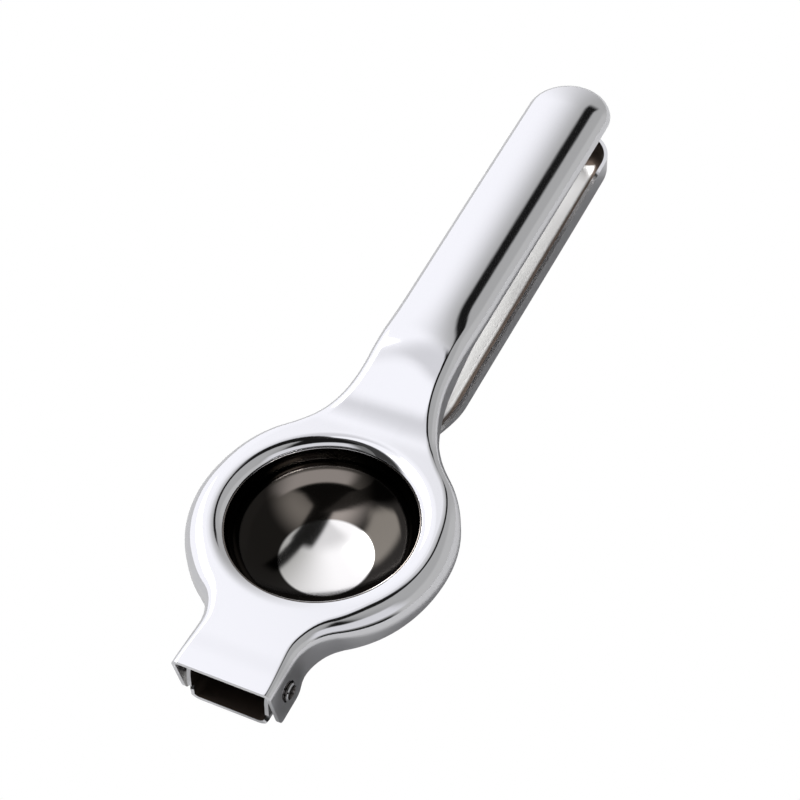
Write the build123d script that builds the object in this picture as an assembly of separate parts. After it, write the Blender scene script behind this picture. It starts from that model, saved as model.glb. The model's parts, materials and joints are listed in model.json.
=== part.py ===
# Hand citrus press: two pressed steel arms on one cross pin, a plain cup on the
# upper arm and a pierced strainer bowl on the lower one.
# X runs along the hinge pin, +Y from the hinge to the grip ends, +Z up.
# Lengths are millimetres.  Heights below are first counted from the flat top of
# the upper arm's ring; settle() then drops the whole press onto Z = 0.
from build123d import *
from math import cos, radians, sin, sqrt
import os

# Sheet and overall sizes
SHEET = 1.0               # thickness of every pressed sheet
FRONT_Y = -49.8           # cut front edge of the upper arm
TIP_Y = 166.0             # grip ends
REST_Z = -21.4            # plane that the bowl and the lower grip stand on
WIDE = 200.0              # longer than any part, for cutting blocks

# Hinge
PIN_Y = -42.4
PIN_Z = -7.7
PIN_R = 2.3
PIN_BORE_R = 1.65
PIN_HALF = 13.5
PIN_SLOT = 0.7            # gap of the rolled tube
PIN_RUN = 0.05            # radial clearance in the ears
KNUCKLE_R = 5.2           # round top front corner of the lower neck
SPACER_R = 4.2
SPACER_RUN = 0.1          # side clearance of a spacer

# Upper arm
UP_NECK = 12.7            # half widths
UP_HEAD_R = 33.0
UP_GRIP = 11.3
UP_GRIP_END = 11.9
UP_EDGE_R = 4.0           # rounded top edge
GRIP_RISE = 7.2           # grip above the ring
EYE_R = 23.25             # opening of the ring
LIP_R = 2.5               # rolled lip of the opening

# Lower arm
LOW_NECK_LEFT = 10.1
LOW_NECK_RIGHT = 10.9
LOW_FRONT_Y = -48.8
LOW_HEAD_R = 30.2
LOW_GRIP = 11.0
LOW_GRIP_END = 11.6
LOW_EDGE_R = 3.0
NECK_FLOOR_Z = -14.5
RING_FLOOR_Z = -10.4

# Concave blends in plan, neck to head and head to grip
NECK_BLEND = 12.0
GRIP_BLEND = 34.0

# Press cup and strainer bowl
CUP_FLANGE_R = 29.0
CUP_CORNER_R = 12.0
CUP_FLOOR_Z = -17.4
CUP_SEAT_GAP = 0.05
BOWL_R = 27.8
BOWL_CORNER_R = 10.0
BOWL_RIM_Z = -3.4
BOWL_RIM_R = 28.9
HOLE_R = 1.3
HOLE_RINGS = ((5.2, 6), (9.9, 12), (14.6, 18))


def half_outline(neck, head, grip, grip_end, front, tip, neck_blend, grip_blend):
    """Edges of one side of an arm in plan, from the neck's front to the tip."""
    low_y = -sqrt((head + neck_blend) ** 2 - (neck + neck_blend) ** 2)
    top_y = sqrt((head + grip_blend) ** 2 - (grip + grip_blend) ** 2)
    low_c = Vector(neck + neck_blend, low_y)
    top_c = Vector(grip + grip_blend, top_y)
    low_t = low_c * (head / (head + neck_blend))
    top_t = top_c * (head / (head + grip_blend))
    end_y = tip - grip_end
    low_m = low_c + (Vector(neck, low_y) + low_t - low_c * 2).normalized() * neck_blend
    top_m = top_c + (Vector(grip, top_y) + top_t - top_c * 2).normalized() * grip_blend
    tip_m = Vector(grip_end * cos(radians(45)), end_y + grip_end * sin(radians(45)))
    return [
        Line((neck, front), (neck, low_y)),
        ThreePointArc((neck, low_y), (low_m.X, low_m.Y), (low_t.X, low_t.Y)),
        ThreePointArc((low_t.X, low_t.Y), (head, 0), (top_t.X, top_t.Y)),
        ThreePointArc((top_t.X, top_t.Y), (top_m.X, top_m.Y), (grip, top_y)),
        Spline((grip, top_y), (grip_end, end_y), tangents=[(0, 1), (0, 1)]),
        ThreePointArc((grip_end, end_y), (tip_m.X, tip_m.Y), (0, tip)),
    ]


def plan_block(inset, sizes):
    """Upright block with an arm's plan outline, drawn in by inset."""
    neck_left, neck_right, head, grip, grip_end, front, tip = sizes
    shared = (head - inset, grip - inset, grip_end - inset)
    blends = (NECK_BLEND + inset, GRIP_BLEND + inset)
    right = half_outline(neck_right - inset, *shared, front, tip - inset, *blends)
    left = half_outline(neck_left - inset, *shared, front, tip - inset, *blends)
    left = [edge.mirror(Plane.YZ) for edge in left]
    close = Line((-neck_left + inset, front), (neck_right - inset, front))
    face = make_face([close, *right, *left])
    return Pos(0, 0, -WIDE / 2) * extrude(face, amount=WIDE)


def side_block(edges):
    """Block with a side outline drawn in the Y-Z plane, wide enough for any arm."""
    face = Plane.YZ * make_face(edges)
    return extrude(face, amount=WIDE / 2, both=True)


def ramp(start, end):
    """S-shaped edge with level ends."""
    return Spline(start, end, tangents=[(1, 0), (1, 0)])


def round_rim(block, pick, radius):
    """Round the edges where the block's sides meet its closing face."""
    return fillet(pick(block), radius)


def rim_edges(block, height_at, reach):
    """Edges that lie on the closing surface's height line, front edge left out."""
    chosen = []
    for edge in block.edges():
        spots = [edge @ part for part in (0.0, 0.3, 0.7, 1.0)]
        on_line = all(abs(spot.Z - height_at(spot.Y)) < 0.25 for spot in spots)
        on_front = all(abs(spot.Y - reach) < 0.01 for spot in spots)
        on_side = any(abs(spot.X) > 5 for spot in spots)
        across = abs(spots[0].X - spots[3].X) > 8 and abs(spots[0].Y - spots[3].Y) < 0.01
        if on_line and on_side and not on_front and not across:
            chosen.append(edge)
    return chosen


def s_height(y, start, end):
    """Height of the ramp() edge at y, found on the same curve."""
    curve = ramp(start, end)
    low, high = 0.0, 1.0
    for _ in range(30):
        middle = (low + high) / 2
        if (curve @ middle).X < y:
            low = middle
        else:
            high = middle
    return (curve @ low).Y


# ---------------------------------------------------------------- upper arm
UP_RAMP_Y = (27.0, 60.0)


def upper_top(y, drop):
    """Height of the upper arm's outside, or of its inside with drop = SHEET."""
    if y <= UP_RAMP_Y[0]:
        return -drop
    if y >= UP_RAMP_Y[1]:
        return GRIP_RISE - drop
    return s_height(y, (UP_RAMP_Y[0], -drop), (UP_RAMP_Y[1], GRIP_RISE - drop))


def upper_cover(drop, front, tip):
    """Everything under the upper arm's top surface."""
    start = (UP_RAMP_Y[0], -drop)
    end = (UP_RAMP_Y[1], GRIP_RISE - drop)
    far = tip + 5
    return side_block([
        Line((front, -60), (front, -drop)),
        Line((front, -drop), start),
        ramp(start, end),
        Line(end, (far, GRIP_RISE - drop)),
        Line((far, GRIP_RISE - drop), (far, -60)),
        Line((far, -60), (front, -60)),
    ])


def upper_skirt():
    """Side outline that trims the skirt and leaves the two hinge ears."""
    return side_block([
        Polyline((-47.9, -12.2), (FRONT_Y, 0), (FRONT_Y, 30), (180, 30), (180, 2.4), (66, 1.6)),
        Spline((66, 1.6), (34, -6.2), tangents=[(-1, 0), (-1, 0)]),
        Line((34, -6.2), (0, -6.2)),
        Spline((0, -6.2), (-27, -8.4), tangents=[(-1, 0), (-1, 0)]),
        Spline((-27, -8.4), (-36.6, -11.4), tangents=[(-1, 0), (-0.2, -1)]),
        ThreePointArc((-36.6, -11.4), (-37.6, -13.5), (-39.8, -14.2)),
        Line((-39.8, -14.2), (-45.6, -14.2)),
        ThreePointArc((-45.6, -14.2), (-47.1, -13.6), (-47.9, -12.2)),
    ])


def upper_arm():
    sizes = (UP_NECK, UP_NECK, UP_HEAD_R, UP_GRIP, UP_GRIP_END, FRONT_Y - 10, TIP_Y)
    outer = plan_block(0, sizes) & upper_cover(0, FRONT_Y - 10, TIP_Y)
    outer = round_rim(outer, lambda b: rim_edges(b, lambda y: upper_top(y, 0), FRONT_Y - 10), UP_EDGE_R)
    inner = plan_block(SHEET, sizes) & upper_cover(SHEET, FRONT_Y - 10, TIP_Y)
    inner_r = UP_EDGE_R - SHEET
    inner = round_rim(inner, lambda b: rim_edges(b, lambda y: upper_top(y, SHEET), FRONT_Y - 10), inner_r)
    shell = (outer - inner) & upper_skirt()
    shell -= Cylinder(EYE_R + LIP_R, 10)
    shell += ring_lip()
    holes = Pos(0, PIN_Y, PIN_Z) * Rot(0, 90, 0) * Cylinder(PIN_R + PIN_RUN, WIDE)
    return shell - holes


def ring_lip():
    """Quarter roll that turns the sheet down into the opening."""
    centre = EYE_R + LIP_R
    inside = LIP_R - SHEET
    turn = cos(radians(45))
    section = make_face([
        ThreePointArc((centre, 0), (centre - LIP_R * turn, -LIP_R + LIP_R * turn), (EYE_R, -LIP_R)),
        Line((EYE_R, -LIP_R), (EYE_R + SHEET, -LIP_R)),
        ThreePointArc((EYE_R + SHEET, -LIP_R), (centre - inside * turn, -LIP_R + inside * turn),
                      (centre, -SHEET)),
        Line((centre, -SHEET), (centre, 0)),
    ])
    return revolve(Plane.XZ * section, Axis.Z)


# ---------------------------------------------------------------- lower arm
NECK_RAMP_Y = (-40.0, -30.0)
GRIP_RAMP_Y = (33.0, 60.0)


def lower_bottom(y, lift):
    """Height of the lower arm's underside, or of its floor with lift = SHEET."""
    if y <= NECK_RAMP_Y[0]:
        return NECK_FLOOR_Z + lift
    if y < NECK_RAMP_Y[1]:
        ends = (NECK_RAMP_Y[0], NECK_FLOOR_Z + lift), (NECK_RAMP_Y[1], RING_FLOOR_Z + lift)
        return s_height(y, *ends)
    if y <= GRIP_RAMP_Y[0]:
        return RING_FLOOR_Z + lift
    if y < GRIP_RAMP_Y[1]:
        ends = (GRIP_RAMP_Y[0], RING_FLOOR_Z + lift), (GRIP_RAMP_Y[1], REST_Z + lift)
        return s_height(y, *ends)
    return REST_Z + lift


def lower_tray(lift, front, tip):
    """Everything above the lower arm's underside."""
    neck_a = (NECK_RAMP_Y[0], NECK_FLOOR_Z + lift)
    neck_b = (NECK_RAMP_Y[1], RING_FLOOR_Z + lift)
    grip_a = (GRIP_RAMP_Y[0], RING_FLOOR_Z + lift)
    grip_b = (GRIP_RAMP_Y[1], REST_Z + lift)
    far = tip + 5
    return side_block([
        Line((front, 60), (front, NECK_FLOOR_Z + lift)),
        Line((front, NECK_FLOOR_Z + lift), neck_a),
        ramp(neck_a, neck_b),
        Line(neck_b, grip_a),
        ramp(grip_a, grip_b),
        Line(grip_b, (far, REST_Z + lift)),
        Line((far, REST_Z + lift), (far, 60)),
        Line((far, 60), (front, 60)),
    ])


def lower_rim():
    """Side outline that trims the top edge of the lower arm's walls."""
    knuckle_top = PIN_Z + KNUCKLE_R
    front = PIN_Y - KNUCKLE_R
    turn = KNUCKLE_R * cos(radians(45))
    return side_block([
        Polyline((LOW_FRONT_Y, -40), (LOW_FRONT_Y, NECK_FLOOR_Z + SHEET), (front, PIN_Z)),
        ThreePointArc((front, PIN_Z), (PIN_Y - turn, PIN_Z + turn), (PIN_Y, knuckle_top)),
        Spline((PIN_Y, knuckle_top), (-28, -3.0), tangents=[(1, 0), (1, 0)]),
        Line((-28, -3.0), (20, -3.0)),
        Spline((20, -3.0), (58, -13.6), tangents=[(1, 0), (1, 0)]),
        Line((58, -13.6), (140, -11.2)),
        Polyline((140, -11.2), (180, -11.2), (180, -40), (LOW_FRONT_Y, -40)),
    ])


def lower_arm():
    sizes = (LOW_NECK_LEFT, LOW_NECK_RIGHT, LOW_HEAD_R, LOW_GRIP, LOW_GRIP_END,
             LOW_FRONT_Y - 10, TIP_Y - 0.4)
    reach = LOW_FRONT_Y - 10
    outer = plan_block(0, sizes) & lower_tray(0, reach, TIP_Y)
    outer = round_rim(outer, lambda b: rim_edges(b, lambda y: lower_bottom(y, 0), reach), LOW_EDGE_R)
    inner = plan_block(SHEET, sizes) & lower_tray(SHEET, reach, TIP_Y)
    inner_r = LOW_EDGE_R - SHEET
    inner = round_rim(inner, lambda b: rim_edges(b, lambda y: lower_bottom(y, SHEET), reach), inner_r)
    shell = (outer - inner) & lower_rim()
    shell -= Pos(0, 0, RING_FLOOR_Z) * Cylinder(BOWL_R + CUP_SEAT_GAP, 6)
    holes = Pos(0, PIN_Y, PIN_Z) * Rot(0, 90, 0) * Cylinder(PIN_R, WIDE)
    return shell - holes


# ---------------------------------------------------------------- drawn cups
def cup_corner(radius, floor_r, centre_z):
    """Arc from a cup's wall down to its flat floor."""
    turn = cos(radians(45))
    return ThreePointArc((floor_r + radius, centre_z),
                         (floor_r + radius * turn, centre_z - radius * turn),
                         (floor_r, centre_z - radius))


def press_cup():
    wall_r = EYE_R + SHEET
    floor_r = wall_r - CUP_CORNER_R
    corner_z = CUP_FLOOR_Z + CUP_CORNER_R
    seat = EYE_R + LIP_R
    seat_r = LIP_R - SHEET - CUP_SEAT_GAP
    shoulder_z = -SHEET - seat_r - CUP_SEAT_GAP
    turn = cos(radians(45))
    outer_r = seat_r - 0.95
    section = make_face([
        Polyline((CUP_FLANGE_R, -2 * SHEET), (CUP_FLANGE_R, -SHEET), (seat, -SHEET),
                 (seat, -SHEET - CUP_SEAT_GAP)),
        ThreePointArc((seat, shoulder_z + seat_r), (seat - seat_r * turn, shoulder_z + seat_r * turn),
                      (seat - seat_r, shoulder_z)),
        Polyline((seat - seat_r, shoulder_z), (wall_r, shoulder_z - 0.6), (wall_r, corner_z)),
        cup_corner(CUP_CORNER_R, floor_r, corner_z),
        Polyline((floor_r, CUP_FLOOR_Z), (0, CUP_FLOOR_Z), (0, CUP_FLOOR_Z - SHEET),
                 (floor_r, CUP_FLOOR_Z - SHEET)),
        cup_corner(CUP_CORNER_R + SHEET, floor_r, corner_z),
        Polyline((wall_r + SHEET, corner_z), (wall_r + SHEET, shoulder_z),
                 (seat - outer_r, -2 * SHEET), (CUP_FLANGE_R, -2 * SHEET)),
    ])
    return revolve(Plane.XZ * section, Axis.Z)


def strainer_bowl():
    floor_r = BOWL_R - BOWL_CORNER_R
    corner_z = REST_Z + BOWL_CORNER_R
    inner_r = BOWL_R - SHEET
    section = make_face([
        Polyline((inner_r, corner_z), (inner_r, BOWL_RIM_Z), (BOWL_RIM_R, BOWL_RIM_Z),
                 (BOWL_RIM_R, BOWL_RIM_Z - SHEET), (BOWL_R, BOWL_RIM_Z - SHEET), (BOWL_R, corner_z)),
        cup_corner(BOWL_CORNER_R, floor_r, corner_z),
        Polyline((floor_r, REST_Z), (0, REST_Z), (0, REST_Z + SHEET), (floor_r, REST_Z + SHEET)),
        cup_corner(BOWL_CORNER_R - SHEET, floor_r, corner_z),
    ])
    bowl = revolve(Plane.XZ * section, Axis.Z)
    drills = []
    for ring_r, count in HOLE_RINGS:
        drills += [Pos(0, 0, REST_Z) * loc * Cylinder(HOLE_R, 6) for loc in PolarLocations(ring_r, count)]
    return bowl - drills


# ---------------------------------------------------------------- hinge pieces
def along_pin(shape, centre_x):
    return Pos(centre_x, PIN_Y, PIN_Z) * Rot(0, 90, 0) * shape


def hinge_pin():
    tube = Cylinder(PIN_R, 2 * PIN_HALF) - Cylinder(PIN_BORE_R, 2 * PIN_HALF)
    gap = Pos(PIN_R, 0, 0) * Box(2 * PIN_R, PIN_SLOT, 2 * PIN_HALF)
    return along_pin(tube - gap, 0)


def spacer(from_x, to_x):
    """Washer on the pin that fills the gap from one wall to the next."""
    length = abs(to_x - from_x) - 2 * SPACER_RUN
    ring = Cylinder(SPACER_R, length) - Cylinder(PIN_R + PIN_RUN, length)
    return along_pin(ring, (from_x + to_x) / 2)


# ---------------------------------------------------------------- assembly
def settle(shape):
    """Middle of the press in plan at X = Y = 0 and the rest plane at Z = 0."""
    return Pos(0, -(FRONT_Y + TIP_Y) / 2, -REST_Z) * shape


EAR_IN = UP_NECK - SHEET
NODES = {
    "upper_arm": upper_arm(),
    "press_cup": press_cup(),
    "lower_arm": lower_arm(),
    "strainer_bowl": strainer_bowl(),
    "hinge_pin": hinge_pin(),
    "spacer_left": spacer(-EAR_IN, -LOW_NECK_LEFT),
    "spacer_right": spacer(LOW_NECK_RIGHT, EAR_IN),
}

os.makedirs("parts", exist_ok=True)
for name, shape in NODES.items():
    export_step(settle(shape), f"parts/{name}.step")
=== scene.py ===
"""Looks of a hand citrus press: two pressed, mirror-polished steel arms on a tube hinge pin,
a drawn press cup in the upper arm and a pierced strainer bowl in the lower one."""

import json
import math

import bmesh
import bpy
import numpy as np
from mathutils import Matrix, Vector


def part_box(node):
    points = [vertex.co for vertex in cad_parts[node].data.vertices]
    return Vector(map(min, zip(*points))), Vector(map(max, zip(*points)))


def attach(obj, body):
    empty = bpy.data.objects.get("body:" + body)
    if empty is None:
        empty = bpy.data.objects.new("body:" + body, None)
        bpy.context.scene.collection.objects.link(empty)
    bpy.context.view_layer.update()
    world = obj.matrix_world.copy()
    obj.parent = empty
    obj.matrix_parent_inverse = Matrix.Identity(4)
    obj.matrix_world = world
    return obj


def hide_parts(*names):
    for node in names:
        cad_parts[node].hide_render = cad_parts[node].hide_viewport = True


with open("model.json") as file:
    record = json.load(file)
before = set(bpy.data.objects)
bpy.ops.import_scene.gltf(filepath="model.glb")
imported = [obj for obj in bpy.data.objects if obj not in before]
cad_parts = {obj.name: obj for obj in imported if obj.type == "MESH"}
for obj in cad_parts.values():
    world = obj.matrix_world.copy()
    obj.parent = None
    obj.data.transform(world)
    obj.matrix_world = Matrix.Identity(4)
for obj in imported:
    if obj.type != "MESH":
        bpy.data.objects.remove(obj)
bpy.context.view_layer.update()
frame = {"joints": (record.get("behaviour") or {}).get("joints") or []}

# ------------------------------------------------------------------ driving sizes
# Shapes are worked out in millimetres from the middle of the upper arm's opening, on the
# flat top of its ring, and at() puts them into the frame.
MM = 0.001
SHEET = 1.0                 # sheet thickness
cup_low, cup_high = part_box("press_cup")
ORIGIN = Vector(((cup_low.x + cup_high.x) / 2, (cup_low.y + cup_high.y) / 2, cup_high.z + SHEET * MM))
REST_Z = -ORIGIN.z / MM     # height of the surface that the press stands on
PIN = (Vector(frame["joints"][0]["pos_m"]) - ORIGIN) / MM
UPPER_LOW, UPPER_HIGH = [(corner - ORIGIN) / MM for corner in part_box("upper_arm")]
LOWER_LOW, LOWER_HIGH = [(corner - ORIGIN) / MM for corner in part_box("lower_arm")]

# Plan of both arms
NECK_BLEND = 12.0           # concave plan radius from neck to head
GRIP_BLEND = 34.0           # concave plan radius from head to grip
UPPER_NECK = 12.7
LOWER_NECK = 10.5
UPPER_HEAD = UPPER_HIGH.x
LOWER_HEAD = LOWER_HIGH.x
EYE_R = 23.25               # opening of the upper ring
LIP_WIDE = 4.0              # rolled lip of that opening
LIP_DEEP = 2.4
BOWL_R = 27.8
BOWL_PLAY = 0.05            # clearance of the bowl in the lower ring
PIN_R = 2.3

# Density of the meshes
STEP = 1.1                  # spacing of the columns along an outline
NECK_DENSER = 1.6           # times as many columns along the neck
GRIP_SPARSER = 1.3          # times fewer columns along the grip
FILLET_ROWS = 14
WALL_ROWS = 5
LIP_ROWS = 12
NECK_CELLS = 20             # cells across the neck
GRIP_CELLS = 28             # cells across the grip
RING_ROWS = 12              # rows between the opening and the rounded edge
WELD = 2e-7                 # points closer than this are one, in metres


def at(x, y, z):
    """A point of the design, in metres in the frame."""
    return ORIGIN + Vector((x, y, z)) * MM


def ease(y, start, end, low, high):
    """S-shaped change from low to high as y goes from start to end."""
    t = np.clip((y - start) / (end - start), 0.0, 1.0)
    return low + (high - low) * t * t * (3.0 - 2.0 * t)


# ------------------------------------------------------------------ plan outline
def half_outline(neck, head, grip, tip, front_y, tip_y):
    """Right side of an arm in plan, front to tip: rows of x, y and the outward normal."""
    low = np.array([neck + NECK_BLEND, -math.sqrt((head + NECK_BLEND) ** 2 - (neck + NECK_BLEND) ** 2)])
    top = np.array([grip + GRIP_BLEND, math.sqrt((head + GRIP_BLEND) ** 2 - (grip + GRIP_BLEND) ** 2)])
    end_y = tip_y - tip
    rows = []

    def arc(centre, radius, start, stop, inward):
        count = max(3, round(abs(stop - start) * radius / STEP))
        for angle in np.linspace(start, stop, count + 1)[1:]:
            ray = np.array([math.cos(angle), math.sin(angle)])
            rows.append([*(centre + ray * radius), *(-ray if inward else ray)])

    for y in np.linspace(front_y, low[1], round((low[1] - front_y) / STEP * NECK_DENSER) + 1):
        rows.append([neck, y, 1.0, 0.0])
    arc(low, NECK_BLEND, math.pi, math.atan2(-low[1], -low[0]), True)
    arc(np.zeros(2), head, math.atan2(low[1], low[0]), math.atan2(top[1], top[0]), False)
    arc(top, GRIP_BLEND, math.atan2(-top[1], -top[0]), -math.pi, True)
    for y in np.linspace(top[1], end_y, round((end_y - top[1]) / STEP / GRIP_SPARSER) + 1)[1:]:
        t = (y - top[1]) / (end_y - top[1])
        slope = (tip - grip) * 6.0 * t * (1.0 - t) / (end_y - top[1])
        long = math.hypot(1.0, slope)
        rows.append([ease(y, top[1], end_y, grip, tip), y, 1.0 / long, -slope / long])
    arc(np.array([0.0, end_y]), tip, 0.0, math.pi / 2, False)
    rows[-1][0] = 0.0
    return np.array(rows), (low[1], top[1], end_y)


CORNER_POINTS = 9


def rounded_path(corners):
    """Side outline through (y, z, radius) corners, each rounded by an arc."""
    path = [np.array(corners[0][:2], float)]
    for before, (y, z, radius), after in zip(corners, corners[1:], corners[2:]):
        corner = np.array([y, z])
        into = np.array(before[:2]) - corner
        out = np.array(after[:2]) - corner
        into /= np.linalg.norm(into)
        out /= np.linalg.norm(out)
        half = math.acos(np.clip(into @ out, -1, 1)) / 2
        middle = corner + (into + out) / np.linalg.norm(into + out) * radius / math.sin(half)
        start = corner + into * radius / math.tan(half) - middle
        stop = corner + out * radius / math.tan(half) - middle
        a, b = math.atan2(start[1], start[0]), math.atan2(stop[1], stop[0])
        b += 2 * math.pi * round((a - b) / (2 * math.pi))
        for angle in np.linspace(a, b, CORNER_POINTS):
            path.append(middle + radius * np.array([math.cos(angle), math.sin(angle)]))
    path.append(np.array(corners[-1][:2], float))
    return np.array(path)


def along(path, share):
    """Point at a share of a path's length."""
    run = np.concatenate([[0.0], np.cumsum(np.linalg.norm(np.diff(path, axis=0), axis=1))])
    return np.array([np.interp(share * run[-1], run, path[:, axis]) for axis in (0, 1)])


# ------------------------------------------------------------------ pressed arms
INSET_ROUNDS = 6            # repeats that settle where a rounded edge starts on a sloping face
FAR = 1e9
NECK_SAMPLES = 10           # outline samples after the neck that still belong to its blend


def pressed_arm(spec):
    """Outside of an arm as one sheet with its closed face up, as (vertices, faces) in mm.

    The plan outline has one column of points for each sample: from the closed face, round the
    pressed edge and down the wall.  Grids fill the closed face between the columns."""
    half, (neck_y, blend_y, tip_c) = half_outline(*spec["plan"])
    left = half[:-1][::-1] * [-1, 1, -1, 1]
    columns = np.concatenate([half, left])
    height = spec["height"]
    verts, faces = [], []

    def add(point):
        verts.append(tuple(point))
        return len(verts) - 1

    def quads(upper_row, lower_row):
        for a, b, c, d in zip(upper_row, upper_row[1:], lower_row[1:], lower_row):
            corners = list(dict.fromkeys((a, d, c, b)))
            if len(corners) > 2:
                faces.append(corners)

    def down_slope(x, y, nx, ny):
        small = 0.02
        ahead = height(x + nx * small, y + ny * small)
        behind = height(x - nx * small, y - ny * small)
        return -(ahead - behind) / (2 * small)

    rim = []
    for x, y, nx, ny in columns:
        radius = spec["fillet"](y)
        inset, begin = radius, 0.0
        for _ in range(INSET_ROUNDS):
            begin = math.atan(down_slope(x - nx * inset, y - ny * inset, nx, ny))
            inset = radius * (1.0 - math.sin(begin))
        px, py = x - nx * inset, y - ny * inset
        top = height(px, py)
        edge_y, edge_z = spec["edge"](y)
        reach = math.cos(begin) - (top - edge_z) / radius
        last = math.acos(reach) if reach > 0 else math.pi / 2
        column = []
        for angle in np.linspace(begin, last, FILLET_ROWS + 1):
            out = radius * (math.sin(angle) - math.sin(begin))
            drop = radius * (math.cos(begin) - math.cos(angle))
            column.append(np.array([px + nx * out, py + ny * out, top - drop]))
        foot = column[-1].copy()
        end = np.array([foot[0], edge_y, edge_z])
        for share in np.linspace(0, 1, WALL_ROWS + 1)[1:]:
            column.append(foot + (end - foot) * share if reach <= 0 else foot)
        rim.append(column)
    ids = []
    for column in rim:
        row = []
        for point in column:
            if row and np.allclose(verts[row[-1]], point, atol=1e-9):
                row.append(row[-1])
            else:
                row.append(add(point))
        ids.append(row)
    for one, other in zip(ids, ids[1:]):
        quads(one, other)

    def mirror(index):
        return len(columns) - 1 - index

    def row_across(index, cells):
        """Points from the right column to the left one at the same place along the arm."""
        a, b = ids[index][0], ids[mirror(index)][0]
        xa, ya = verts[a][:2]
        xb, yb = verts[b][:2]
        between = []
        for t in np.linspace(0, 1, cells + 1)[1:-1]:
            x, y = xa + (xb - xa) * t, ya + (yb - ya) * t
            between.append(add((x, y, height(x, y))))
        return [a, *between, b]

    sample_y = half[:, 1]
    neck_i = int(np.argmin(abs(sample_y - neck_y)))
    on_side = np.arange(len(half)) > neck_i + NECK_SAMPLES
    blend_i = int(np.argmin(np.where(on_side, abs(sample_y - blend_y), FAR)))
    tip_i = int(np.argmin(np.where(on_side, abs(sample_y - tip_c), FAR)))

    neck_rows = [row_across(i, NECK_CELLS) for i in range(neck_i + 1)]
    for one, other in zip(neck_rows, neck_rows[1:]):
        quads(other, one)
    grip_rows = [row_across(i, GRIP_CELLS) for i in range(blend_i, tip_i + 1)]
    for one, other in zip(grip_rows, grip_rows[1:]):
        quads(other, one)

    # Round end of the grip: half rings about the middle of the last straight row
    last_row = grip_rows[-1]
    tip_ids = [ids[i][0] for i in range(tip_i, mirror(tip_i) + 1)]
    centre_y = verts[last_row[0]][1]
    half_cells = GRIP_CELLS // 2
    rings = [tip_ids]
    for k in range(1, half_cells):
        share = 1.0 - k / half_cells
        ring = [last_row[k]]
        for outer in tip_ids[1:-1]:
            x = verts[outer][0] * share
            y = centre_y + (verts[outer][1] - centre_y) * share
            ring.append(add((x, y, height(x, y))))
        ring.append(last_row[-1 - k])
        rings.append(ring)
    for outer, inner in zip(rings, rings[1:]):
        quads(inner, outer)
    middle = last_row[half_cells]
    for a, b in zip(rings[-1], rings[-1][1:]):
        faces.append([middle, a, b])

    # Ring round the opening
    boundary = [ids[i][0] for i in range(neck_i, blend_i + 1)]
    boundary += grip_rows[0][1:-1]
    boundary += [ids[i][0] for i in range(mirror(blend_i), mirror(neck_i) + 1)]
    boundary += neck_rows[-1][1:-1][::-1]
    boundary.append(boundary[0])
    eye = spec["eye"]
    loops = [boundary]
    for k in range(1, RING_ROWS + 1):
        share = k / RING_ROWS
        loop = []
        for outer in boundary[:-1]:
            x, y = verts[outer][:2]
            r = math.hypot(x, y)
            scale = (r + (eye - r) * share) / r
            loop.append(add((x * scale, y * scale, height(x * scale, y * scale))))
        loop.append(loop[0])
        loops.append(loop)
    for wide, deep in spec["lip"]:
        loop = []
        for outer in boundary[:-1]:
            x, y = verts[outer][:2]
            r = math.hypot(x, y)
            scale = (eye - wide) / r
            loop.append(add((x * scale, y * scale, height(x * eye / r, y * eye / r) - deep)))
        loop.append(loop[0])
        loops.append(loop)
    for outer, inner in zip(loops, loops[1:]):
        quads(inner, outer)
    return verts, faces


def mesh_object(name, points, faces, face_up=0.0):
    """Welded mesh object from points in the frame, its faces looking outwards.

    An open sheet has no outside of its own, so face_up says whether its closed face looks up
    (1) or down (-1)."""
    mesh = bpy.data.meshes.new(name)
    mesh.from_pydata(points, [], faces)
    bm = bmesh.new()
    bm.from_mesh(mesh)
    bmesh.ops.remove_doubles(bm, verts=bm.verts, dist=WELD)
    bmesh.ops.dissolve_degenerate(bm, edges=bm.edges, dist=WELD)
    bmesh.ops.recalc_face_normals(bm, faces=bm.faces)
    if sum(face.normal.z * face.calc_area() for face in bm.faces) * face_up < 0:
        bmesh.ops.reverse_faces(bm, faces=bm.faces)
    bm.to_mesh(mesh)
    bm.free()
    piece = bpy.data.objects.new(name, mesh)
    bpy.context.scene.collection.objects.link(piece)
    return piece


def arm_object(name, sheet, up):
    """Mesh object of a pressed arm; up is -1 for the arm whose closed face looks down."""
    verts, faces = sheet
    return mesh_object(name, [at(x, y, z * up) for x, y, z in verts], faces, up)


def apply_modifiers(piece):
    """Turn a piece's modifiers into its mesh."""
    graph = bpy.context.evaluated_depsgraph_get()
    mesh = bpy.data.meshes.new_from_object(piece.evaluated_get(graph))
    piece.modifiers.clear()
    old = piece.data
    piece.data = mesh
    mesh.name = piece.name
    bpy.data.meshes.remove(old)


def smooth(piece, angle=35.0):
    """Smooth shading that stays crisp at edges sharper than the angle."""
    mesh = piece.data
    mesh.polygons.foreach_set("use_smooth", [True] * len(mesh.polygons))
    mesh.set_sharp_from_angle(angle=math.radians(angle))


def flatten_shading(piece):
    """Let the large faces lead the shading, so that the small rounds beside them stay narrow."""
    weigh = piece.modifiers.new("shading", "WEIGHTED_NORMAL")
    weigh.keep_sharp = True
    bpy.context.view_layer.update()
    apply_modifiers(piece)


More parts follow.
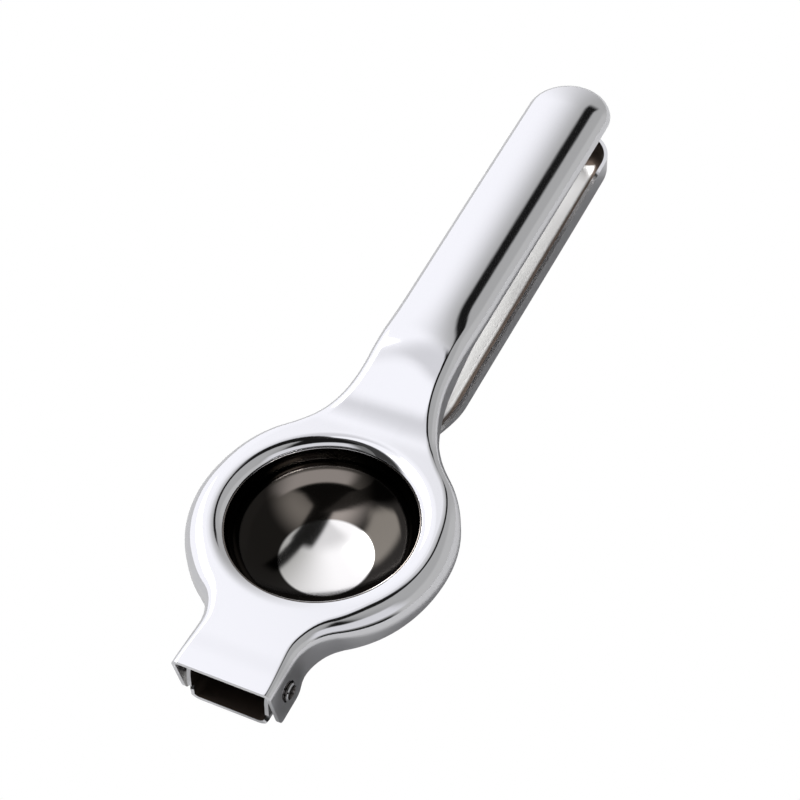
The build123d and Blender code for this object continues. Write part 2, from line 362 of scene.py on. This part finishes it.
def revolved(name, profile, centre, axis="Z", turns=128, gap=0.0):
    """Closed ring of a profile of (radius, along) points swept about an axis through centre.

    With a gap, in millimetres, the turn stops short and both ends are capped."""
    outer = max(radius for radius, _ in profile)
    start = gap / outer / 2
    count = turns + 1 if gap else turns
    angles = np.linspace(start, 2 * math.pi - start, count, endpoint=bool(gap))
    verts, faces, rings = [], [], []
    for angle in angles:
        ring = []
        for radius, height in profile:
            a, b = radius * math.cos(angle), radius * math.sin(angle)
            verts.append((a, b, height) if axis == "Z" else (height, a, b))
            ring.append(len(verts) - 1)
        rings.append(ring)
    if not gap:
        rings.append(rings[0])
    size = len(profile)
    for one, other in zip(rings, rings[1:]):
        for k in range(size):
            m = (k + 1) % size
            faces.append([one[k], one[m], other[m], other[k]])
    if gap:
        faces.append(rings[0])
        faces.append(rings[-1][::-1])
    return mesh_object(name, [at(*(Vector(v) + Vector(centre))) for v in verts], faces)


DRILL_LONG = 60.0           # reaches through both walls of an arm


def drill(piece, radius, centre, axis, length):
    """Cut a round hole with an exact boolean, and leave no cutter behind."""
    count = 48
    angles = np.linspace(0, 2 * math.pi, count, endpoint=False)
    rim = [(radius * math.cos(a), radius * math.sin(a)) for a in angles]
    verts = []
    for end in (-length / 2, length / 2):
        verts += [(a, b, end) if axis == "Z" else (end, a, b) for a, b in rim]
    faces = [list(range(count)), list(range(count, 2 * count))]
    faces += [[k, (k + 1) % count, count + (k + 1) % count, count + k] for k in range(count)]
    cutter = mesh_object("cutter", [at(*(Vector(v) + Vector(centre))) for v in verts], faces)
    mesh = cutter.data
    cut = piece.modifiers.new("hole", "BOOLEAN")
    cut.object = cutter
    cut.operation = "DIFFERENCE"
    cut.solver = "EXACT"
    bpy.context.view_layer.update()
    apply_modifiers(piece)
    bpy.data.objects.remove(cutter)
    bpy.data.meshes.remove(mesh)


def thicken(piece, thickness=SHEET):
    """Give a pressed outside its sheet thickness, inwards."""
    shell = piece.modifiers.new("sheet", "SOLIDIFY")
    shell.thickness = thickness * MM
    shell.offset = -1.0
    shell.use_even_offset = True
    shell.use_quality_normals = True
    shell.material_offset = 1
    bpy.context.view_layer.update()
    apply_modifiers(piece)


def break_edges(piece, width, angle=55.0):
    """Small round on the cut edges, in the finish of the outside."""
    bevel = piece.modifiers.new("edge", "BEVEL")
    bevel.width = width * MM
    bevel.segments = 3
    bevel.limit_method = "ANGLE"
    bevel.angle_limit = math.radians(angle)
    bevel.use_clamp_overlap = True
    bevel.material = 0
    bpy.context.view_layer.update()
    apply_modifiers(piece)


# ------------------------------------------------------------------ upper arm
UPPER_GRIP = 11.3            # half width where the grip starts
UPPER_TIP_R = 11.9           # round end
TIP_C = UPPER_HIGH.y - UPPER_TIP_R
UPPER_PLAN = (UPPER_NECK, UPPER_HEAD, UPPER_GRIP, UPPER_TIP_R, UPPER_LOW.y, UPPER_HIGH.y)
GRIP_TOP = UPPER_HIGH.z      # crown of the upper grip
GRIP_RAMP = (27.0, 60.0)     # stretch over which the ring rises to the grip
CROWN_RAMP = (42.0, 72.0)    # stretch over which the grip gets its crown
CROWN_SLOPE = 18.0           # slope of the crown at CROWN_HALF from the middle, degrees
CROWN_HALF = 8.8
EAR_BACK_Y = -27.0
EAR_LOW_Z = -14.2
EAR_BACK_Z = -8.4
SKIRT_Z = -6.2               # lower edge round the head
GRIP_SKIRT = ((34.0, 66.0), 1.6)    # stretch over which the skirt rises, and its height after it
TIP_SKIRT_RISE = 0.8 / 100.0        # slope of the skirt along the grip
UPPER_EAR = rounded_path([
    (-47.9, -12.2, 0), (-47.4, EAR_LOW_Z, 1.6), (-37.9, EAR_LOW_Z, 3.0), (-36.4, -11.0, 4.5),
    (EAR_BACK_Y, EAR_BACK_Z, 0)])
PIN_PLAY = 0.35              # clearance of the pin in the ears


def upper_height(x, y):
    """Height of the upper arm's outside over a point in plan."""
    top = ease(y, *GRIP_RAMP, 0.0, GRIP_TOP)
    slope = math.tan(math.radians(ease(y, *CROWN_RAMP, 0.0, CROWN_SLOPE)))
    across = math.hypot(x, max(y - TIP_C, 0.0))
    return top - slope * across ** 2 / (2 * CROWN_HALF)


def upper_fillet(y):
    """Radius of the pressed edge: tight at the neck's front, widest round the head."""
    front, neck, head, grip, grip_extra = 1.7, 2.9, 5.2, 3.0, 0.7
    neck_back_y = -34.0
    if y < neck_back_y:
        return ease(y, -50.0, neck_back_y, front, neck)
    if y < 0:
        return ease(y, neck_back_y, -20.0, neck, head)
    return ease(y, 4.0, 27.0, head, grip) + ease(y, 44.0, 62.0, 0.0, grip_extra)


def upper_edge(y):
    """Where the wall over a point of the outline ends, as (y, z)."""
    if y < EAR_BACK_Y:
        return along(UPPER_EAR, (y - UPPER_LOW.y) / (EAR_BACK_Y - UPPER_LOW.y))
    if y < 0:
        return y, ease(y, EAR_BACK_Y, 0.0, EAR_BACK_Z, SKIRT_Z)
    (rise_from, rise_to), grip_z = GRIP_SKIRT
    if y < rise_to:
        return y, ease(y, rise_from, rise_to, SKIRT_Z, grip_z)
    return y, grip_z + TIP_SKIRT_RISE * (y - rise_to)


def lip_rows(wide, deep, count):
    """Quarter-ellipse roll from the flat down into the opening: (inward, down) rows."""
    turns = np.linspace(0, math.pi / 2, count + 1)[1:]
    return [(wide * math.sin(t), deep * (1 - math.cos(t))) for t in turns]


def make_upper_arm():
    sheet = pressed_arm({
        "plan": UPPER_PLAN,
        "height": upper_height,
        "fillet": upper_fillet,
        "edge": upper_edge,
        "eye": EYE_R + LIP_WIDE,
        "lip": lip_rows(LIP_WIDE, LIP_DEEP, LIP_ROWS),
    })
    arm = arm_object("upper_arm_shell", sheet, up=1.0)
    paint(arm, polished, dull_inside)
    thicken(arm)
    drill(arm, PIN_R + PIN_PLAY, (0, PIN.y, PIN.z), "X", DRILL_LONG)
    break_edges(arm, 0.18)
    smooth(arm)
    flatten_shading(arm)
    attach(arm, "upper")
    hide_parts("upper_arm")
    return arm


# ------------------------------------------------------------------ lower arm
# Worked out upside down: its closed face is the floor.
NECK_FLOOR = 14.5
RING_FLOOR = 10.4
GRIP_FLOOR = -REST_Z
LOWER_GRIP = 11.0
LOWER_TIP_R = 11.6
LOWER_PLAN = (LOWER_NECK, LOWER_HEAD, LOWER_GRIP, LOWER_TIP_R, LOWER_LOW.y, LOWER_HIGH.y)
NECK_DROP = (-40.0, -30.0)   # stretch over which the neck's floor meets the ring's
GRIP_DROP = (33.0, 60.0)     # stretch over which the ring's floor meets the grip's
KNUCKLE_R = 5.2
RIM_BACK_Y = -28.0
RING_RIM = 3.0
GRIP_RIM = 13.6
TIP_RIM = 11.2
RIM_DROP = (20.0, 58.0)      # stretch over which the rim sinks to the grip
TIP_RIM_LONG = 82.0          # length over which it comes up again towards the tip
LOWER_KNUCKLE = rounded_path([
    (LOWER_LOW.y, NECK_FLOOR - SHEET, 0), (PIN.y - KNUCKLE_R, -PIN.z - KNUCKLE_R, KNUCKLE_R - 0.3),
    (RIM_BACK_Y, RING_RIM, 0)])


def lower_height(x, y):
    """Depth of the lower arm's underside, the same all across."""
    if y < 0:
        return ease(y, *NECK_DROP, NECK_FLOOR, RING_FLOOR)
    return ease(y, *GRIP_DROP, RING_FLOOR, GRIP_FLOOR)


def lower_fillet(y):
    """Radius of the pressed edge, widest along the grip."""
    neck, ring, grip = 3.0, 2.0, 5.5
    return ease(y, *NECK_DROP, neck, ring) if y < 0 else ease(y, 26.0, 56.0, ring, grip)


def lower_edge(y):
    """Where the wall over a point of the outline ends, as (y, depth)."""
    if y < RIM_BACK_Y:
        return along(LOWER_KNUCKLE, (y - LOWER_LOW.y) / (RIM_BACK_Y - LOWER_LOW.y))
    if y < RIM_DROP[1]:
        return y, ease(y, *RIM_DROP, RING_RIM, GRIP_RIM)
    return y, GRIP_RIM + (TIP_RIM - GRIP_RIM) * min((y - RIM_DROP[1]) / TIP_RIM_LONG, 1.0)


def make_lower_arm():
    sheet = pressed_arm({
        "plan": LOWER_PLAN,
        "height": lower_height,
        "fillet": lower_fillet,
        "edge": lower_edge,
        "eye": BOWL_R + BOWL_PLAY,
        "lip": [],
    })
    arm = arm_object("lower_arm_shell", sheet, up=-1.0)
    paint(arm, polished, lower_inside_painted_light)
    thicken(arm)
    drill(arm, PIN_R, (0, PIN.y, PIN.z), "X", DRILL_LONG)
    break_edges(arm, 0.28)
    smooth(arm)
    flatten_shading(arm)
    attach(arm, "lower")
    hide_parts("lower_arm")
    return arm


# ------------------------------------------------------------------ cup and bowl
def arc_points(centre, radius, start, stop, count):
    """Points of an arc in a profile, angles in degrees."""
    return [(centre[0] + radius * math.cos(math.radians(a)), centre[1] + radius * math.sin(math.radians(a)))
            for a in np.linspace(start, stop, count)]


CUP_WALL_R = EYE_R + SHEET
CUP_CORNER_R = 10.5
CUP_DISH_R = 40.0            # the floor is a shallow dish
CUP_PAINTED_REFLECTION_R = 12.0          # radius of the painted reflection in the middle of the floor
CUP_FLOOR_Z = -17.4
CUP_FLANGE_R = 29.0


def make_press_cup():
    """Drawn cup: a flange under the ring, a straight wall, a corner and a dished floor."""
    play = 0.02
    flange_z = -SHEET - play
    seat_z = -LIP_DEEP - 0.1
    corner_x = CUP_WALL_R - CUP_CORNER_R
    rise = math.sqrt((CUP_DISH_R - CUP_CORNER_R) ** 2 - corner_x ** 2)
    meet = math.degrees(math.atan2(corner_x, rise)) - 90.0
    dish_c = (0.0, CUP_FLOOR_Z + CUP_DISH_R)
    corner_c = (corner_x, CUP_FLOOR_Z + CUP_DISH_R - rise)
    inside = [(CUP_FLANGE_R, flange_z), (EYE_R + LIP_WIDE, flange_z)]
    inside += [(CUP_WALL_R + 0.25, seat_z - 0.1), (CUP_WALL_R, seat_z - 0.5)]
    inside += arc_points(corner_c, CUP_CORNER_R, 0, meet, 20)
    inside += arc_points(dish_c, CUP_DISH_R, meet, -90, 18)[1:]
    outside = arc_points(dish_c, CUP_DISH_R + SHEET, -90, meet, 18)
    outside += arc_points(corner_c, CUP_CORNER_R + SHEET, meet, 0, 20)[1:]
    outside += [(CUP_WALL_R + SHEET, seat_z - 0.7)]
    outside += [(EYE_R + LIP_WIDE, -2 * SHEET), (CUP_FLANGE_R, -2 * SHEET)]
    cup = revolved("press_cup_shell", inside + outside, (0, 0, 0))
    paint(cup, cup_painted_light)
    smooth(cup, 50)
    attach(cup, "upper")
    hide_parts("press_cup")
    return cup


BOWL_CORNER_R = 10.0
BOWL_RIM_Z = -3.4
BOWL_RIM_R = 28.9
HOLE_R = 1.3
HOLE_RINGS = ((5.2, 6), (9.9, 12), (14.6, 18))      # ring radius and number of holes


def make_strainer_bowl():
    """Drawn bowl with a rolled-out rim and rings of drain holes in its floor."""
    corner_c = (BOWL_R - BOWL_CORNER_R, REST_Z + BOWL_CORNER_R)
    inner_r = BOWL_R - SHEET
    outside = [(BOWL_RIM_R, BOWL_RIM_Z), (BOWL_RIM_R, BOWL_RIM_Z - SHEET), (BOWL_R, BOWL_RIM_Z - SHEET)]
    outside += arc_points(corner_c, BOWL_CORNER_R, 0, -90, 20)
    outside += [(0.0, REST_Z)]
    inside = [(0.0, REST_Z + SHEET)]
    inside += arc_points(corner_c, BOWL_CORNER_R - SHEET, -90, 0, 20)
    inside += [(inner_r, BOWL_RIM_Z)]
    bowl = revolved("strainer_bowl_shell", outside + inside, (0, 0, 0))
    for ring_r, count in HOLE_RINGS:
        for k in range(count):
            angle = 2 * math.pi * k / count
            spot = (ring_r * math.cos(angle), ring_r * math.sin(angle), REST_Z)
            drill(bowl, HOLE_R, spot, "Z", 5 * SHEET)
    break_edges(bowl, 0.12)
    paint(bowl, drawn)
    smooth(bowl)
    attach(bowl, "lower")
    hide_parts("strainer_bowl")
    return bowl


# ------------------------------------------------------------------ hinge pieces
PIN_BORE_R = 1.65
PIN_SLOT = 0.7              # gap of the rolled tube


def make_hinge_pin():
    """Tube rolled from sheet, with a slot along it, rounded noses, bright ends and a tube painted dark as
    shade.
    """
    low, high = [(corner - ORIGIN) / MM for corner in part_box("hinge_pin")]
    nose = 0.25
    end = [(PIN_BORE_R, nose), (PIN_BORE_R + nose / 2, 0.0), (PIN_R - nose, 0.0), (PIN_R, nose)]
    profile = [(radius, low.x + inward) for radius, inward in end]
    profile += [(radius, high.x - inward) for radius, inward in reversed(end)]
    pin = revolved("hinge_pin_tube", profile, (0, PIN.y, PIN.z), "X", 72, gap=PIN_SLOT)
    smooth(pin, 40)
    paint(pin, hinge_painted_shade_steel, polished)
    for face in pin.data.polygons:
        face.material_index = int(abs(face.normal.x) > 0.5)
    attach(pin, "lower")
    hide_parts("hinge_pin")
    return pin


def make_spacer(node):
    """Washer between an ear and the lower neck, painted dark as shade."""
    low, high = [(corner - ORIGIN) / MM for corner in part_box(node)]
    outer = (high.z - low.z) / 2
    nose = min(0.2, (high.x - low.x) / 4)
    hole = PIN_R + 0.05
    profile = [(hole, low.x), (outer - nose, low.x), (outer, low.x + nose), (outer, high.x - nose),
               (outer - nose, high.x), (hole, high.x)]
    washer = revolved(node + "_ring", profile, (0, PIN.y, PIN.z), "X", 64)
    paint(washer, hinge_painted_shade_steel)
    smooth(washer, 40)
    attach(washer, "lower")
    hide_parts(node)
    return washer


# ------------------------------------------------------------------ materials
def steel(name, colour, roughness, spread, grain, stretch, bump):
    """Bare steel: roughness that varies over the surface and fine stretched grain in its bump.

    spread is how far the roughness strays, grain the scale of the grain and stretch its
    frequency along X, Y and Z."""
    material = bpy.data.materials.new(name)
    material.use_nodes = True
    nodes, links = material.node_tree.nodes, material.node_tree.links
    shader = nodes["Principled BSDF"]
    shader.inputs["Metallic"].default_value = 1.0
    shader.inputs["Base Color"].default_value = (*colour, 1.0)
    place = nodes.new("ShaderNodeTexCoord")
    fit = nodes.new("ShaderNodeMapping")
    fit.inputs["Scale"].default_value = stretch
    links.new(place.outputs["Object"], fit.inputs["Vector"])
    cloud = nodes.new("ShaderNodeTexNoise")
    cloud.inputs["Scale"].default_value = 45.0
    cloud.inputs["Detail"].default_value = 3.0
    links.new(place.outputs["Object"], cloud.inputs["Vector"])
    rough = nodes.new("ShaderNodeMapRange")
    rough.inputs["From Min"].default_value = 0.3
    rough.inputs["From Max"].default_value = 0.7
    rough.inputs["To Min"].default_value = roughness - spread
    rough.inputs["To Max"].default_value = roughness + spread
    links.new(cloud.outputs["Fac"], rough.inputs["Value"])
    links.new(rough.outputs["Result"], shader.inputs["Roughness"])
    lines = nodes.new("ShaderNodeTexNoise")
    lines.inputs["Scale"].default_value = grain
    lines.inputs["Detail"].default_value = 4.0
    lines.inputs["Roughness"].default_value = 0.6
    links.new(fit.outputs["Vector"], lines.inputs["Vector"])
    relief = nodes.new("ShaderNodeBump")
    relief.inputs["Strength"].default_value = bump
    relief.inputs["Distance"].default_value = 0.0001
    links.new(lines.outputs["Fac"], relief.inputs["Height"])
    links.new(relief.outputs["Normal"], shader.inputs["Normal"])
    return material


# Which directions count in a distance from a point
FROM_POINT = (1.0, 1.0, 1.0)
FROM_Z_AXIS = (1.0, 1.0, 0.0)
FROM_X_AXIS = (0.0, 1.0, 1.0)
FROM_YZ_PLANE = (1.0, 0.0, 0.0)


def two_tone(material, near, far, start, stop, axes, middle):
    """Change a material's colour from near to far over a distance from a point, axis or plane.

    far is a colour or the colour output of another node.  start, stop and middle are in
    design millimetres."""
    nodes, links = material.node_tree.nodes, material.node_tree.links
    place = nodes.new("ShaderNodeTexCoord")
    flat = nodes.new("ShaderNodeVectorMath")
    flat.operation = "MULTIPLY"
    flat.inputs[1].default_value = axes
    links.new(place.outputs["Object"], flat.inputs[0])
    gap = nodes.new("ShaderNodeVectorMath")
    gap.operation = "DISTANCE"
    gap.inputs[1].default_value = [a * b for a, b in zip(axes, at(*middle))]
    links.new(flat.outputs[0], gap.inputs[0])
    fade = nodes.new("ShaderNodeMapRange")
    fade.interpolation_type = "SMOOTHSTEP"
    fade.inputs["From Min"].default_value = start * MM
    fade.inputs["From Max"].default_value = stop * MM
    links.new(gap.outputs["Value"], fade.inputs["Value"])
    mix = nodes.new("ShaderNodeMix")
    mix.data_type = "RGBA"
    links.new(fade.outputs["Result"], mix.inputs["Factor"])
    mix.inputs["A"].default_value = (*near, 1.0)
    if isinstance(far, tuple):
        mix.inputs["B"].default_value = (*far, 1.0)
    else:
        links.new(far, mix.inputs["B"])
    links.new(mix.outputs["Result"], nodes["Principled BSDF"].inputs["Base Color"])
    return mix.outputs["Result"]


def channel_painted_light_skin():
    """Inside of the lower arm: painted reflection along the grip's bottom, painted shade up its walls and
    in the neck.
    """
    # bright is a painted reflection on the floor of the grip, dark is painted shade
    bright, dark = (0.98, 0.975, 0.96), (0.09, 0.07, 0.058)
    material = steel("channel_painted_light_skin", dark, 0.50, 0.04, 1200.0, (1.0, 0.1, 1.0), 0.10)
    nodes, links = material.node_tree.nodes, material.node_tree.links
    light = two_tone(material, bright, dark, 5.6, 6.6, FROM_YZ_PLANE, (0, 0, 0))
    place = nodes.new("ShaderNodeTexCoord")
    split = nodes.new("ShaderNodeSeparateXYZ")
    links.new(place.outputs["Object"], split.inputs[0])
    # Painted shade also before the grip begins and towards the end of the tip
    grip_begins, tip_wall = (46.0, 56.0), (TIP_C + 7.0, TIP_C + 6.0)
    for start, stop in (grip_begins, tip_wall):
        fade = nodes.new("ShaderNodeMapRange")
        fade.inputs["From Min"].default_value = at(0, start, 0).y
        fade.inputs["From Max"].default_value = at(0, stop, 0).y
        links.new(split.outputs["Y"], fade.inputs["Value"])
        over = nodes.new("ShaderNodeMix")
        over.data_type = "RGBA"
        links.new(fade.outputs["Result"], over.inputs["Factor"])
        over.inputs["A"].default_value = (*dark, 1.0)
        links.new(light, over.inputs["B"])
        light = over.outputs["Result"]
    links.new(light, nodes["Principled BSDF"].inputs["Base Color"])
    return material


def cup_painted_light_skin():
    """Drawn cup: painted reflections, bright on the floor and grey at the back, and painted shade, dark on
    the wall.
    """
    material = steel("press_cup_painted_light_skin", (0.2, 0.19, 0.18), 0.09, 0.02, 1500.0, (0.1, 0.1, 1.0), 0.04)
    # Painted reflection on the floor and in the patch at the back, painted shade on the wall
    floor, painted_reflection_patch, painted_shade_wall = (0.86, 0.845, 0.82), (0.30, 0.265, 0.235), (0.020, 0.018, 0.016)
    reflection_patch_middle = (-8.0, 14.0, CUP_FLOOR_Z + 7.0)
    wall = two_tone(material, painted_reflection_patch, painted_shade_wall, 7.0, 14.0, FROM_POINT, reflection_patch_middle)
    two_tone(material, floor, wall, CUP_PAINTED_REFLECTION_R - 0.8, CUP_PAINTED_REFLECTION_R, FROM_Z_AXIS, (0, 0, 0))
    return material


def paint(piece, *materials):
    """Give a piece its materials, the outside's first."""
    piece.data.materials.clear()
    for material in materials:
        piece.data.materials.append(material)


# ------------------------------------------------------------------ stage
FLOOR_GREY = 0.56


def make_floor():
    """Wide pale floor: pure white to the camera, mid grey paper to what reflects it."""
    size = 6.0
    mesh = bpy.data.meshes.new("floor")
    corners = [(-size, -size, 0.0), (size, -size, 0.0), (size, size, 0.0), (-size, size, 0.0)]
    mesh.from_pydata(corners, [], [[0, 1, 2, 3]])
    floor = bpy.data.objects.new("floor", mesh)
    bpy.context.scene.collection.objects.link(floor)
    material = bpy.data.materials.new("floor_paper")
    material.use_nodes = True
    nodes, links = material.node_tree.nodes, material.node_tree.links
    nodes.remove(nodes["Principled BSDF"])
    paper = nodes.new("ShaderNodeBsdfDiffuse")
    paper.inputs["Color"].default_value = (FLOOR_GREY, FLOOR_GREY, FLOOR_GREY, 1.0)
    white = nodes.new("ShaderNodeEmission")
    white.inputs["Strength"].default_value = 1.0
    path = nodes.new("ShaderNodeLightPath")
    pick = nodes.new("ShaderNodeMixShader")
    links.new(path.outputs["Is Camera Ray"], pick.inputs[0])
    links.new(paper.outputs[0], pick.inputs[1])
    links.new(white.outputs[0], pick.inputs[2])
    links.new(pick.outputs[0], nodes["Material Output"].inputs["Surface"])
    mesh.materials.append(material)
    return floor


class Sky:
    """Studio as a world: patches of light laid over each other by azimuth and elevation, in degrees.

    Azimuth runs from the right (0) to the back (90) and the left (180); the seam is at -120."""

    SEAM_MIDDLE = 60.0

    def __init__(self, radiance):
        world = bpy.data.worlds.new("studio")
        bpy.context.scene.world = world
        world.use_nodes = True
        self.nodes, self.links = world.node_tree.nodes, world.node_tree.links
        self.place = self.nodes.new("ShaderNodeTexCoord").outputs["Generated"]
        turn = math.radians(self.SEAM_MIDDLE)
        ahead = self.dot((math.cos(turn), math.sin(turn), 0.0))
        aside = self.dot((-math.sin(turn), math.cos(turn), 0.0))
        angle = self.math("ARCTAN2", aside, ahead)
        self.azimuth = self.math("ADD", self.math("MULTIPLY", angle, math.degrees(1.0)), self.SEAM_MIDDLE)
        tilt = self.math("ARCSINE", self.dot((0.0, 0.0, 1.0)))
        self.elevation = self.math("MULTIPLY", tilt, math.degrees(1.0))
        base = self.nodes.new("ShaderNodeRGB")
        base.outputs[0].default_value = (radiance, radiance, radiance, 1.0)
        self.light = base.outputs[0]

    def math(self, kind, *values):
        node = self.nodes.new("ShaderNodeMath")
        node.operation = kind
        for socket, value in zip(node.inputs, values):
            if isinstance(value, (int, float)):
                socket.default_value = value
            else:
                self.links.new(value, socket)
        return node.outputs[0]

    def dot(self, axis):
        node = self.nodes.new("ShaderNodeVectorMath")
        node.operation = "DOT_PRODUCT"
        self.links.new(self.place, node.inputs[0])
        node.inputs[1].default_value = axis
        return node.outputs["Value"]

    def step(self, value, start, end):
        """Smooth change from 0 at start to 1 at end; start may be over end."""
        node = self.nodes.new("ShaderNodeMapRange")
        node.interpolation_type = "SMOOTHSTEP"
        node.inputs["From Min"].default_value = start
        node.inputs["From Max"].default_value = end
        self.links.new(value, node.inputs["Value"])
        return node.outputs["Result"]

    def patch(self, radiance, azimuth, elevation, colour=(1.0, 1.0, 1.0)):
        """Lay a radiance over the sky.  Each range is (0 at, 1 from, 1 to, 0 at), or None."""
        mask = None
        for value, limits in ((self.azimuth, azimuth), (self.elevation, elevation)):
            if limits is None:
                continue
            for start, end in (limits[:2], limits[:1:-1]):
                edge = self.step(value, start, end)
                mask = edge if mask is None else self.math("MULTIPLY", mask, edge)
        self.overlay(mask, [radiance * part for part in colour])

    def ribbon(self, radiance, across, height, behind):
        """Lay a radiance over a band of the sky that runs from back to front overhead.

        across is (0 at, 1 from, 1 to, 0 at) of the direction's X, height and behind are
        (0 at, 1 from) of its Z and Y."""
        side = self.dot((1.0, 0.0, 0.0))
        mask = self.math("MULTIPLY", self.step(side, *across[:2]), self.step(side, *across[:1:-1]))
        mask = self.math("MULTIPLY", mask, self.step(self.dot((0.0, 0.0, 1.0)), *height))
        mask = self.math("MULTIPLY", mask, self.step(self.dot((0.0, 1.0, 0.0)), *behind))
        self.overlay(mask, (radiance,) * 3)

    def overlay(self, mask, colour):
        mix = self.nodes.new("ShaderNodeMix")
        mix.data_type = "RGBA"
        self.links.new(mask, mix.inputs["Factor"])
        self.links.new(self.light, mix.inputs["A"])
        mix.inputs["B"].default_value = (*colour, 1.0)
        self.light = mix.outputs["Result"]

    def finish(self):
        """The camera itself sees plain white behind the object."""
        path = self.nodes.new("ShaderNodeLightPath")
        white = self.nodes.new("ShaderNodeMix")
        white.data_type = "RGBA"
        self.links.new(path.outputs["Is Camera Ray"], white.inputs["Factor"])
        self.links.new(self.light, white.inputs["A"])
        white.inputs["B"].default_value = (1.0, 1.0, 1.0, 1.0)
        self.links.new(white.outputs["Result"], self.nodes["Background"].inputs["Color"])


BASE_LIGHT = 0.46
DIM = 0.20
SCRIM = 1.16
SCRIM_TOP = 0.80
LAMP = 11.0
RIGHT_CARD = 0.56
FRONT_CARD = 0.80
DARK_CORNER = 0.05
HORIZON = 0.02
BLACK = 0.01
LILAC = (0.985, 0.985, 1.03)


def make_lights():
    """Soft white cards in a studio, laid over each other from the widest to the narrowest."""
    sky = Sky(BASE_LIGHT)
    # The room falls off towards the front right
    sky.patch(DIM, (-200, -190, -70, 20), None)
    # White scrim on the left and behind, its near edge fading out
    sky.patch(SCRIM, (88, 130, 205, 222), None, LILAC)
    sky.patch(SCRIM_TOP, (60, 100, 148, 166), (56, 70, 120, 130), LILAC)
    # Lamp that shines through the scrim
    sky.patch(LAMP, (140, 152, 190, 205), (28, 36, 54, 60))
    # Low card on the right
    sky.patch(RIGHT_CARD, (-24, -8, 56, 76), (-20, -10, 30, 42))
    # White card low in front of the object, over a dark horizon
    sky.patch(FRONT_CARD, (-110, -94, -14, 4), (14, 20, 48, 56), LILAC)
    sky.patch(HORIZON, (-120, -104, -22, -8), (-20, -10, 8, 14))
    # Dark room over the camera
    sky.patch(BLACK, (-150, -125, -34, -14), (50, 58, 200, 210))
    # Dark gap overhead between the scrim and the right, widening over the camera
    sky.ribbon(BLACK, (0.115, 0.085, 0.00, -0.05), (0.50, 0.62), (-0.08, -0.04))
    sky.ribbon(BLACK, (0.14, 0.10, -0.10, -0.15), (0.86, 0.92), (-0.26, -0.2))
    # Dark corner at the front left
    sky.patch(DARK_CORNER, (200, 215, 245, 250), None)
    sky.finish()


CAMERA_SPOT = (158.8, -251.5, 369.9)
CAMERA_AZIMUTH = 28.31      # degrees to the right of the front
CAMERA_ELEVATION = 48.08
CAMERA_ROLL = 3.94


def make_camera():
    """Long lens from the front right and above, turned a little with the hand."""
    data = bpy.data.cameras.new("camera")
    data.lens = 90.0
    data.sensor_width = 36.0
    data.clip_start = 0.05
    data.clip_end = 20.0
    camera = bpy.data.objects.new("camera", data)
    bpy.context.scene.collection.objects.link(camera)
    azimuth, elevation, roll = [math.radians(a) for a in (CAMERA_AZIMUTH, CAMERA_ELEVATION, CAMERA_ROLL)]
    back = Vector((math.sin(azimuth) * math.cos(elevation), -math.cos(azimuth) * math.cos(elevation),
                   math.sin(elevation)))
    level = Vector((math.cos(azimuth), math.sin(azimuth), 0.0))
    upright = back.cross(level)
    right = level * math.cos(roll) - upright * math.sin(roll)
    up = level * math.sin(roll) + upright * math.cos(roll)
    turn = Matrix((right, up, back)).transposed().to_4x4()
    camera.matrix_world = Matrix.Translation(at(*CAMERA_SPOT)) @ turn
    bpy.context.scene.camera = camera


# ------------------------------------------------------------------ assembly
HINGE_PAINTED_SHADE = (0.50, 0.50, 0.51)
POLISH = (0.80, 0.80, 0.815)
polished = steel("polished_steel_skin", POLISH, 0.06, 0.015, 900.0, (1.0, 0.15, 1.0), 0.03)
# Painted shade: the polished steel darkens round the hinge pin
two_tone(polished, HINGE_PAINTED_SHADE, POLISH, 4.5, 8.5, FROM_X_AXIS, PIN)
dull_inside = steel("inside_skin", (0.42, 0.41, 0.40), 0.22, 0.05, 1200.0, (1.0, 0.1, 1.0), 0.12)
# Painted reflection and painted shade inside the lower arm
lower_inside_painted_light = channel_painted_light_skin()
drawn = steel("drawn_steel_skin", (0.55, 0.52, 0.49), 0.16, 0.03, 1500.0, (0.1, 0.1, 1.0), 0.10)
# Dark steel of the pin's tube and the washers: painted shade in the hinge
hinge_painted_shade_steel = steel("pin_painted_shade_skin", (0.16, 0.15, 0.145), 0.22, 0.05, 1500.0, (0.1, 1.0, 1.0), 0.15)
# Painted reflections and painted shade in the press cup
cup_painted_light = cup_painted_light_skin()

make_upper_arm()
make_lower_arm()
make_press_cup()
make_strainer_bowl()
make_hinge_pin()
for side in ("left", "right"):
    make_spacer("spacer_" + side)

make_floor()
make_lights()
make_camera()
bpy.context.scene.view_settings.view_transform = "Standard"
bpy.context.scene.view_settings.look = "None"
